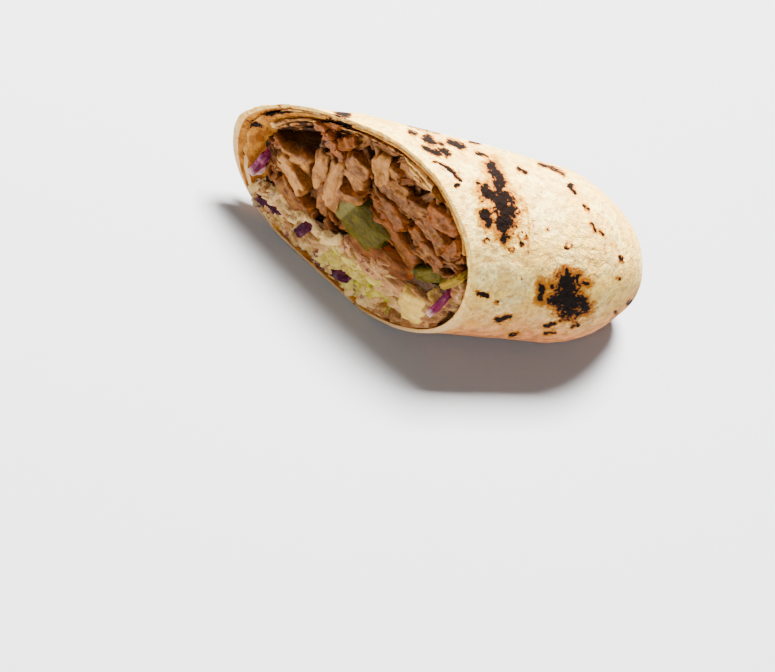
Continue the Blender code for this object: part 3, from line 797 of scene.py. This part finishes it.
# across, up, length, breadth, turn in millimetres and degrees, and how browned it is
meatSlices = [
    (-25.6, 31.6, 12.5, 8.6, 20, 0.22), (-18.2, 33.8, 14.5, 5.4, -66, 0.08), (-12.4, 33.3, 18.5, 6.2, -73, 0.02),
    (-23.6, 26.0, 15.5, 6.6, -8, 0.05), (-20.4, 19.0, 15.5, 5.8, -14, 0.5), (-15.6, 23.4, 8.5, 5.2, -50, 0.36),
    (-25.0, 15.4, 8.5, 5.6, -38, 0.5), (-7.7, 47.2, 9.5, 6.4, 0, 0.36), (-5.8, 41.6, 10.0, 6.0, -12, 0.36),
    (-4.5, 37.0, 9.0, 4.6, 24, 0.42), (-9.9, 54.4, 14.0, 4.4, 66, 0.36), (-4.0, 60.6, 12.5, 4.4, 34, 0.46),
    (-1.3, 51.2, 11.0, 6.0, -56, 0.0), (10.8, 61.0, 14.5, 7.2, 12, 0.04), (2.6, 55.8, 8.0, 4.2, 20, 0.32),
    (5.1, 52.4, 8.0, 3.2, 60, 0.32), (10.6, 54.4, 8.5, 3.2, 74, 0.3), (15.9, 55.0, 8.5, 3.0, 66, 0.0),
    (6.6, 49.6, 10.0, 4.4, 4, 0.32), (9.8, 45.9, 17.5, 5.4, 10, 0.34), (23.8, 53.2, 13.0, 6.4, 4, 0.78),
    (25.2, 59.4, 8.5, 5.6, -48, -0.05), (24.6, 46.4, 13.5, 5.6, -8, 0.56), (30.0, 41.8, 14.5, 4.4, 18, 0.46),
    (26.8, 37.0, 11.0, 4.6, -12, 0.52), (14.6, 34.4, 22.0, 7.6, -17, 0.6), (10.4, 40.6, 13.0, 5.2, -5, 0.62),
    (32.8, 47.8, 8.0, 4.4, 58, 0.68), (-13.6, 50.4, 6.0, 4.4, 58, 0.85), (-16.6, 46.0, 5.0, 3.6, 10, 0.8),
    (-20.4, 47.6, 4.2, 3.0, 40, 0.95), (-13.2, 46.2, 4.6, 3.4, -30, 0.9), (-19.0, 52.6, 5.0, 2.8, 30, 1.05),
    (-23.2, 50.4, 4.6, 2.4, 20, 1.0), (-15.4, 54.6, 5.0, 2.8, 50, 1.05), (-10.8, 49.2, 4.4, 3.4, 80, 0.7),
    (-6.4, 23.2, 12.0, 6.0, -70, 0.7), (-10.6, 26.4, 12.0, 4.8, -76, 0.5), (-19.3, 40.6, 7.5, 3.4, 30, 0.55),
    (17.5, 60.4, 6.5, 4.0, -40, 0.3), (15.0, 49.6, 9.0, 5.0, 8, 0.36), (20.0, 42.0, 8.0, 5.0, -30, 0.55),
]
sliceShape = {
    "depth": 0.015, "cuts": 13, "squareness": 5.6, "roughness": 0.24, "chips": 0.0003, "chipSize": 0.0018,
    "flatFront": 0.93,
}
shardShape = {
    "depth": 0.007, "cuts": 5, "squareness": 5.0, "roughness": 0.45, "chips": 0.0003, "chipSize": 0.0012,
    "count": 150, "farthest": 9, "aboveSlaw": 4,
}
draw = random.Random(11)
meatPieces = [meatCore]
for number, (across, upward, length, breadth, turn, tone) in enumerate(meatSlices):
    curl, proud = draw.uniform(-0.18, 0.18), draw.uniform(-0.0032, 0.0016)
    tilt, swing = draw.uniform(-20, 20), draw.uniform(-16, 16)
    size = (length / 1000, breadth / 1000, sliceShape["depth"])
    piece = softBlock(f"slice{number}", size, sliceShape, number, curl)
    placeOnCut(piece, across / 1000, upward / 1000, proud - sliceShape["depth"] / 2, turn, tilt, swing)
    tone += 0.05 * float(smooth((across - 4) / 14))
    addMasks(piece, tone=tone, gap=0.0)
    meatPieces.append(piece)

# shards fill the gaps between the slices, lying much as the nearest slice does,
# first those along the left and right edges of the meat
edgeSpots = [
    (-32.5, 31.5), (-31.5, 27), (-31, 22.5), (-29.5, 18), (-33, 24), (37, 41), (36.5, 36.5), (35.5, 45),
    (-27, 11.5), (40.5, 39), (39.5, 35), (-35.5, 29), (-34.5, 26), (-33.5, 22), (-32, 18.5), (-6, 17.5),
    (-11.5, 14.5),
]
clear = {"across": -29.5, "up": 39.5, "long": 19, "tall": 11.5}  # the hollow's mouth stays open
placed = 0
while placed < shardShape["count"]:
    byHand = placed < len(edgeSpots)
    across, upward = edgeSpots[placed] if byHand else (draw.uniform(-33, 36), draw.uniform(14, 64))
    slawTop = float(slawHeight(-across / 1000 * math.cos(cutBias))) * 1000
    near = min(meatSlices, key=lambda row: (row[0] - across) ** 2 + (row[1] - upward) ** 2)
    away = math.hypot(near[0] - across, near[1] - upward)
    dx, dy = across - clear["across"], upward - clear["up"]
    inHollow = math.hypot((dx + dy) / clear["long"], (dy - dx) / clear["tall"]) < 1
    tooLow, tooFar = upward < slawTop + shardShape["aboveSlaw"], away > shardShape["farthest"]
    if not byHand and (tooLow or tooFar or inHollow):
        continue
    size = (draw.uniform(4.0, 9.0) / 1000, draw.uniform(1.3, 3.0) / 1000, shardShape["depth"])
    piece = softBlock(f"shard{placed}", size, shardShape, 300 + placed, draw.uniform(-0.5, 0.5))
    placeOnCut(
        piece, across / 1000, upward / 1000, draw.uniform(-0.0042, -0.0012) - size[2] / 2,
        near[4] + draw.uniform(-38, 38), draw.uniform(-25, 25), draw.uniform(-20, 20),
    )
    addMasks(piece, tone=min(1, max(0, near[5] + draw.uniform(-0.15, 0.8))), gap=0.0)
    meatPieces.append(piece)
    placed += 1
meat = joined("meatSlices", meatPieces)
addDepth(meat)
print("meat cut", len(meat.data.polygons))


def meatMaterial():
    material, tree, shader = newMaterial("meat", 0.4, 0.16, Coat_Weight=0.06, Coat_Roughness=0.14)
    coords, grain = objectCoords(tree), attribute(tree, "grain", True)
    tone, rind, gap = attribute(tree, "tone"), attribute(tree, "rind"), attribute(tree, "gap")
    fibre = streaks(tree, grain, 130, 620)
    cloud = mottle(tree, coords, 330, 0.25, 0.75, 4)
    browned = plus(tree, tone, times(tree, minus(tree, cloud, 0.5), 0.55))
    browned = plus(tree, browned, times(tree, rind, 0.62))
    browned = plus(tree, browned, times(tree, minus(tree, fibre, 0.5), 0.6))
    colour = tint(tree, between(tree, browned, 0.05, 0.36), (0.5, 0.21, 0.046), (0.28, 0.098, 0.013))
    colour = tint(tree, between(tree, browned, 0.34, 0.62), colour, (0.15, 0.049, 0.005))
    colour = tint(tree, between(tree, browned, 0.58, 0.95), colour, (0.27, 0.07, 0.004))
    colour = layer(tree, colour, mottle(tree, coords, 700, 0.56, 0.7, 3), 0.34, (0.55, 0.21, 0.045))
    crust = times(tree, mottle(tree, coords, 520, 0.55, 0.68, 4), between(tree, browned, 0.35, 0.9))
    colour = layer(tree, colour, crust, 0.85, (0.062, 0.016, 0.002))
    # painted shade: darker the further behind the cut, in the recesses and the hollow
    sunken = between(tree, attribute(tree, "deep"), 0.06, 0.38)
    colour = layer(tree, colour, sunken, 0.92, (0.026, 0.008, 0.002))
    # painted shade: the core, seen only in the gaps, is coloured near-black
    colour = layer(tree, colour, gap, 0.96, (0.014, 0.0045, 0.0015))
    relief = plus(tree, times(tree, fibre, 0.9), mottle(tree, coords, 800, 0.2, 0.8, 3))
    roughness = plus(tree, 0.26, times(tree, mottle(tree, coords, 600, 0.3, 0.7), 0.3))
    roughness = maths(tree, "MAXIMUM", roughness, gap)
    finishShader(tree, shader, colour, relief, 0.0002, roughness)
    return material


finished(meat, meatMaterial(), "meat")


# slaw: a core below the meat, coloured dark brown as painted shade in the crevices between the shreds and lumps
# lying in the sauce

slawCore = packedCore("slawCore", 0.0034, False, 61, 0.0012)
# tone 2.0 paints the core dark brown: painted shade in the crevices
addMasks(slawCore, tone=2.0, purple=0.0, green=0.0)
draw = random.Random(5)
slawPieces = [slawCore]
greenPatch = {"across": 0.0088, "up": 0.0096, "long": 0.0105, "tall": 0.0062, "turn": math.radians(22)}
shredShape = {
    "cuts": 7, "squareness": 3.5, "roughness": 0.35, "chips": 0.0003, "chipSize": 0.0012, "count": 20,
}
lumpShape = {
    "cuts": 7, "squareness": 2.4, "roughness": 0.5, "chips": 0.0003, "chipSize": 0.0022, "count": 80,
}
for number in range(shredShape["count"]):
    across = -0.036 + 0.072 * (number + draw.uniform(0.1, 0.9)) / shredShape["count"]
    top = float(slawHeight(-across * math.cos(cutBias)))
    upward = draw.uniform(0.005, max(0.007, top - 0.002))
    size = (draw.uniform(0.009, 0.014), draw.uniform(0.0026, 0.004), 0.009)
    out, turn = draw.uniform(-0.0055, -0.003), draw.uniform(-25, 35)
    tilt, swing = draw.uniform(-20, 20), draw.uniform(-15, 15)
    piece = softBlock(f"shred{number}", size, shredShape, 120 + number, 0.1)
    placeOnCut(piece, max(across, -0.031), upward, min(out, -0.0042), turn, tilt, swing)
    green = float(ovalShare(greenPatch, across, upward) < 1)
    addMasks(piece, tone=draw.choice((0.1, 0.3, 0.5, 0.7)), purple=0.0, green=green)
    slawPieces.append(piece)

# lumps of sauce and cabbage fill it out to the bread
endLumps = [
    (0.0385, 0.018), (0.04, 0.023), (0.0415, 0.028), (0.042, 0.033), (0.037, 0.013), (0.0405, 0.036),
    (0.036, 0.0085),
]
for number in range(lumpShape["count"]):
    across = draw.uniform(-0.031, 0.037)
    top = float(slawHeight(-across * math.cos(cutBias)))
    low = 0.0022 + 0.0038 * (across / 0.036) ** 2
    upward = draw.uniform(low, low + (0.0035 if number % 2 else max(0.004, top - low)))
    if number < len(endLumps):
        across, upward = endLumps[number]
    size = (draw.uniform(0.0045, 0.0105), draw.uniform(0.003, 0.0052), 0.007)
    piece = softBlock(f"lump{number}", size, lumpShape, 500 + number, 0.2)
    placeOnCut(
        piece, across, upward, draw.uniform(-0.0042, -0.0026), draw.uniform(-30, 40), draw.uniform(-20, 20),
        draw.uniform(-20, 20),
    )
    # random tone, darker towards the right: partly browner sauce, partly painted shade
    shade = draw.uniform(0, 0.8) + 0.75 * float(smooth((across - 0.012) / 0.018))
    purple = across < 0.014 and upward < low + 0.0022 and draw.random() < 0.45
    green = float(ovalShare(greenPatch, across, upward) < 1)
    addMasks(piece, tone=shade, purple=float(purple), green=green)
    slawPieces.append(piece)
slaw = joined("slawShreds", slawPieces)
addDepth(slaw)


def slawMaterial():
    material, tree, shader = newMaterial(
        "slaw", 0.38, 0.15,
        Subsurface_Weight=0.12, Subsurface_Scale=0.002, Coat_Weight=0.1, Coat_Roughness=0.15,
    )
    coords, tone = objectCoords(tree), attribute(tree, "tone")
    colour = tint(tree, between(tree, tone, 0.1, 0.8), (0.97, 0.62, 0.24), (0.38, 0.155, 0.045))
    colour = layer(tree, colour, mottle(tree, coords, 240, 0.5, 0.7, 3), 0.45, (0.5, 0.38, 0.04))
    greens = tint(tree, mottle(tree, coords, 330, 0.38, 0.62, 3), (0.84, 0.64, 0.13), (0.52, 0.41, 0.035))
    colour = layer(tree, colour, attribute(tree, "green"), 0.75, greens)
    colour = layer(tree, colour, mottle(tree, coords, 260, 0.62, 0.7, 2), 0.75, (0.12, 0.02, 0.05))
    stain = times(tree, attribute(tree, "purple"), mottle(tree, coords, 330, 0.36, 0.5, 3))
    colour = layer(tree, colour, stain, 0.9, (0.085, 0.01, 0.034))
    colour = layer(tree, colour, mottle(tree, coords, 500, 0.5, 0.7, 3), 0.45, (0.95, 0.62, 0.24))
    # painted shade: darker the further behind the cut, in the recesses
    sunken = between(tree, attribute(tree, "deep"), 0.18, 0.55)
    colour = layer(tree, colour, sunken, 0.85, (0.1, 0.04, 0.01))
    # painted shade: the core (tone 2.0), seen in the crevices, is darkened to dark brown
    colour = layer(tree, colour, between(tree, tone, 0.95, 1.8), 0.9, (0.075, 0.028, 0.008))
    fine = times(tree, mottle(tree, coords, 1400, 0.2, 0.8), 0.4)
    relief = plus(tree, mottle(tree, coords, 420, 0.2, 0.8, 4), fine)
    finishShader(tree, shader, colour, relief, 0.0004)
    return material


finished(slaw, slawMaterial(), "slaw")
print("slaw mixed")


# the vegetables that show in the cut

def fleshMaterial(name, middle, second, skinTone, pale=None, specks=None, end=None):
    # end: a tone, and from where to where along the piece it comes in
    material, tree, shader = newMaterial(
        name, 0.34, 0.08,
        Subsurface_Weight=0.06, Subsurface_Scale=0.0015, Coat_Weight=0.02, Coat_Roughness=0.1,
    )
    coords, grain = objectCoords(tree), attribute(tree, "grain", True)
    fibre = streaks(tree, grain, 180, 620)
    colour = tint(tree, between(tree, fibre, 0.35, 0.65), middle, second)
    colour = tint(tree, between(tree, attribute(tree, "rind"), 0.55, 0.9), colour, skinTone)
    if pale:
        colour = layer(tree, colour, mottle(tree, coords, 300, 0.5, 0.7, 3), 0.6, pale)
    if specks:
        colour = layer(tree, colour, mottle(tree, coords, 620, 0.6, 0.68, 3), 0.8, specks)
    if end:
        endTone, comesIn, full = end
        ends = between(tree, attribute(tree, "lengthwise"), comesIn, full)
        colour = layer(tree, colour, ends, 0.85, endTone)
    relief = plus(tree, times(tree, fibre, 0.6), mottle(tree, coords, 900, 0.2, 0.8, 4))
    finishShader(tree, shader, colour, relief, 0.00022)
    return material


pickle = fleshMaterial(
    "pickle", (0.1, 0.072, 0.003), (0.056, 0.041, 0.002), (0.04, 0.033, 0.002), (0.14, 0.105, 0.008),
    end=((0.18, 0.145, 0.035), -0.0045, -0.0056),
)
tomato = fleshMaterial(
    "tomato", (0.21, 0.06, 0.01), (0.13, 0.036, 0.006), (0.33, 0.06, 0.004), (0.31, 0.12, 0.028)
)
pepper = fleshMaterial(
    "pepper", (0.38, 0.22, 0.018), (0.26, 0.15, 0.01), (0.26, 0.16, 0.01), (0.5, 0.32, 0.04)
)
cabbage = fleshMaterial(
    "cabbage", (0.86, 0.54, 0.11), (0.66, 0.38, 0.07), (0.7, 0.42, 0.09), (0.95, 0.66, 0.2)
)
sauced = fleshMaterial(
    "cabbageSauced", (0.62, 0.3, 0.12), (0.4, 0.17, 0.06), (0.52, 0.24, 0.09), specks=(0.1, 0.015, 0.04)
)
onion = fleshMaterial(
    "onion", (0.15, 0.005, 0.045), (0.08, 0.003, 0.026), (0.26, 0.03, 0.09), (0.34, 0.1, 0.15),
    end=((0.66, 0.38, 0.32), -0.0015, -0.005),
)
red = fleshMaterial(
    "redCabbage", (0.065, 0.008, 0.028), (0.035, 0.004, 0.018), (0.15, 0.03, 0.07), (0.34, 0.16, 0.18)
)
lettuce = fleshMaterial(
    "lettuce", (0.68, 0.55, 0.06), (0.46, 0.39, 0.02), (0.34, 0.34, 0.012), (0.86, 0.68, 0.18)
)

# name, node, slot, flesh, size, where on the cut, turn, how far it stands out
vegetables = [
    ("pickleChunk", "pickle_chunk", "pickle", pickle, (0.02, 0.013, 0.013), (0.003, 0.0288), -12, 0.0002),
    ("cabbageSlab", "cabbage_slab", "cabbage", sauced, (0.025, 0.0048, 0.012), (0.0135, 0.0172), 2, 0.0004),
    ("tomatoSlice", "tomato_slice", "tomato", tomato, (0.024, 0.0074, 0.014), (0.014, 0.0234), 3, 0.0),
    ("pickleSlice", "pickle_slice", "pickle", pickle, (0.014, 0.0052, 0.012), (0.03, 0.03), 46, -0.0018),
    ("pepperStrip", "pepper_strip", "pepper", pepper, (0.011, 0.0028, 0.008), (0.0378, 0.0365), 68, 0.0002),
    ("cabbageChunk", "cabbage_chunk", "cabbage", cabbage, (0.0105, 0.0112, 0.01), (0.032, 0.0168), 18, 0.001),
    ("onionRight", "onion_strip_right", "onion", onion, (0.013, 0.0026, 0.006), (0.0384, 0.0254), 84, 0.0012),
    ("onionLeft", "onion_strip_left", "onion", onion, (0.0125, 0.003, 0.006), (-0.0355, 0.019), 82, 0.0008),
    ("redCabbageA", "red_cabbage_a", "onion", red, (0.01, 0.003, 0.006), (-0.025, 0.0082), 4, 0.001),
    ("redCabbageB", "red_cabbage_b", "onion", red, (0.0068, 0.0036, 0.006), (-0.0118, 0.0098), 74, 0.0008),
    ("redCabbageC", "red_cabbage_c", "onion", red, (0.0072, 0.003, 0.006), (0.0068, 0.0056), 24, 0.0012),
]
vegetableShape = {"cuts": 15, "squareness": 5, "roughness": 0.16, "chips": 0.0002, "chipSize": 0.0016}
for number, (name, node, slot, flesh, size, (across, upward), turn, proud) in enumerate(vegetables):
    piece = softBlock(name, size, vegetableShape, 40 + number, 0.05)
    placeOnCut(piece, across, upward, proud - size[2] / 2, turn)
    finished(piece, flesh, node)


def leaf(name, node, across, upward, length, depth, turn, seed, tilt, thickness=0.0012, wave=0.0011):
    sheet = newGrid(name, 49, 31)
    flat = coordsOf(sheet)
    sideways, inward = flat[:, 0] * length, -flat[:, 1] * depth
    height = wave * np.sin(11 * sideways / length + 3 * inward / depth)
    points = np.stack([sideways, height, inward], axis=-1)
    points[:, 1] += noiseAt(points, 0.003, seed) * 0.0007
    setCoords(sheet, points)
    addVectors(sheet, "grain", points)
    addMasks(sheet, rind=np.abs(flat[:, 0] * 2) ** 8)
    thick = sheet.modifiers.new("thickness", "SOLIDIFY")
    thick.thickness, thick.offset = thickness, 0
    bpy.ops.object.modifier_apply(modifier=thick.name)
    placeOnCut(sheet, across, upward, 0.001 - depth / 2, turn, tilt)
    finished(sheet, lettuce, node)


leaf("lettuceA", "lettuce_a", 0.008, 0.0118, length=0.0165, depth=0.011, turn=16, seed=71, tilt=58)
leaf("lettuceB", "lettuce_b", 0.019, 0.01, length=0.014, depth=0.009, turn=-4, seed=72, tilt=48)
print("vegetables placed")


# floor and light

bpy.ops.mesh.primitive_plane_add(size=6)
floor = bpy.context.object
floor.name = "floor"
floorMaterial, tree, shader = newMaterial("floor", 0.7)
clouds = mottle(tree, objectCoords(tree), 6, 0.3, 0.7)
floorTone = tint(tree, clouds, (0.39, 0.41, 0.442), (0.398, 0.418, 0.45))
tree.links.new(floorTone, shader.inputs["Base Color"])
floor.data.materials.append(floorMaterial)

lights = {
    "key": {"at": (0.03, 0.46, 1.13), "size": 0.36, "power": 169, "tone": (1.0, 0.95, 0.885)},
    "fill": {"at": (-0.8, -0.85, 1.0), "size": 0.3, "power": 9, "tone": (1.0, 0.98, 0.95)},
}
for name, light in lights.items():
    bpy.ops.object.light_add(type="AREA", location=light["at"])
    lamp = bpy.context.object
    lamp.name = name
    lamp.data.size, lamp.data.energy, lamp.data.color = light["size"], light["power"], light["tone"]
    lamp.rotation_euler = (Vector(light["at"]) - Vector((0, 0, 0.03))).to_track_quat("Z", "Y").to_euler()
world = bpy.data.worlds.new("studio")
bpy.context.scene.world = world
world.use_nodes = True
sky = world.node_tree.nodes["Background"].inputs
sky["Color"].default_value, sky["Strength"].default_value = (0.88, 0.94, 1.0, 1), 0.11
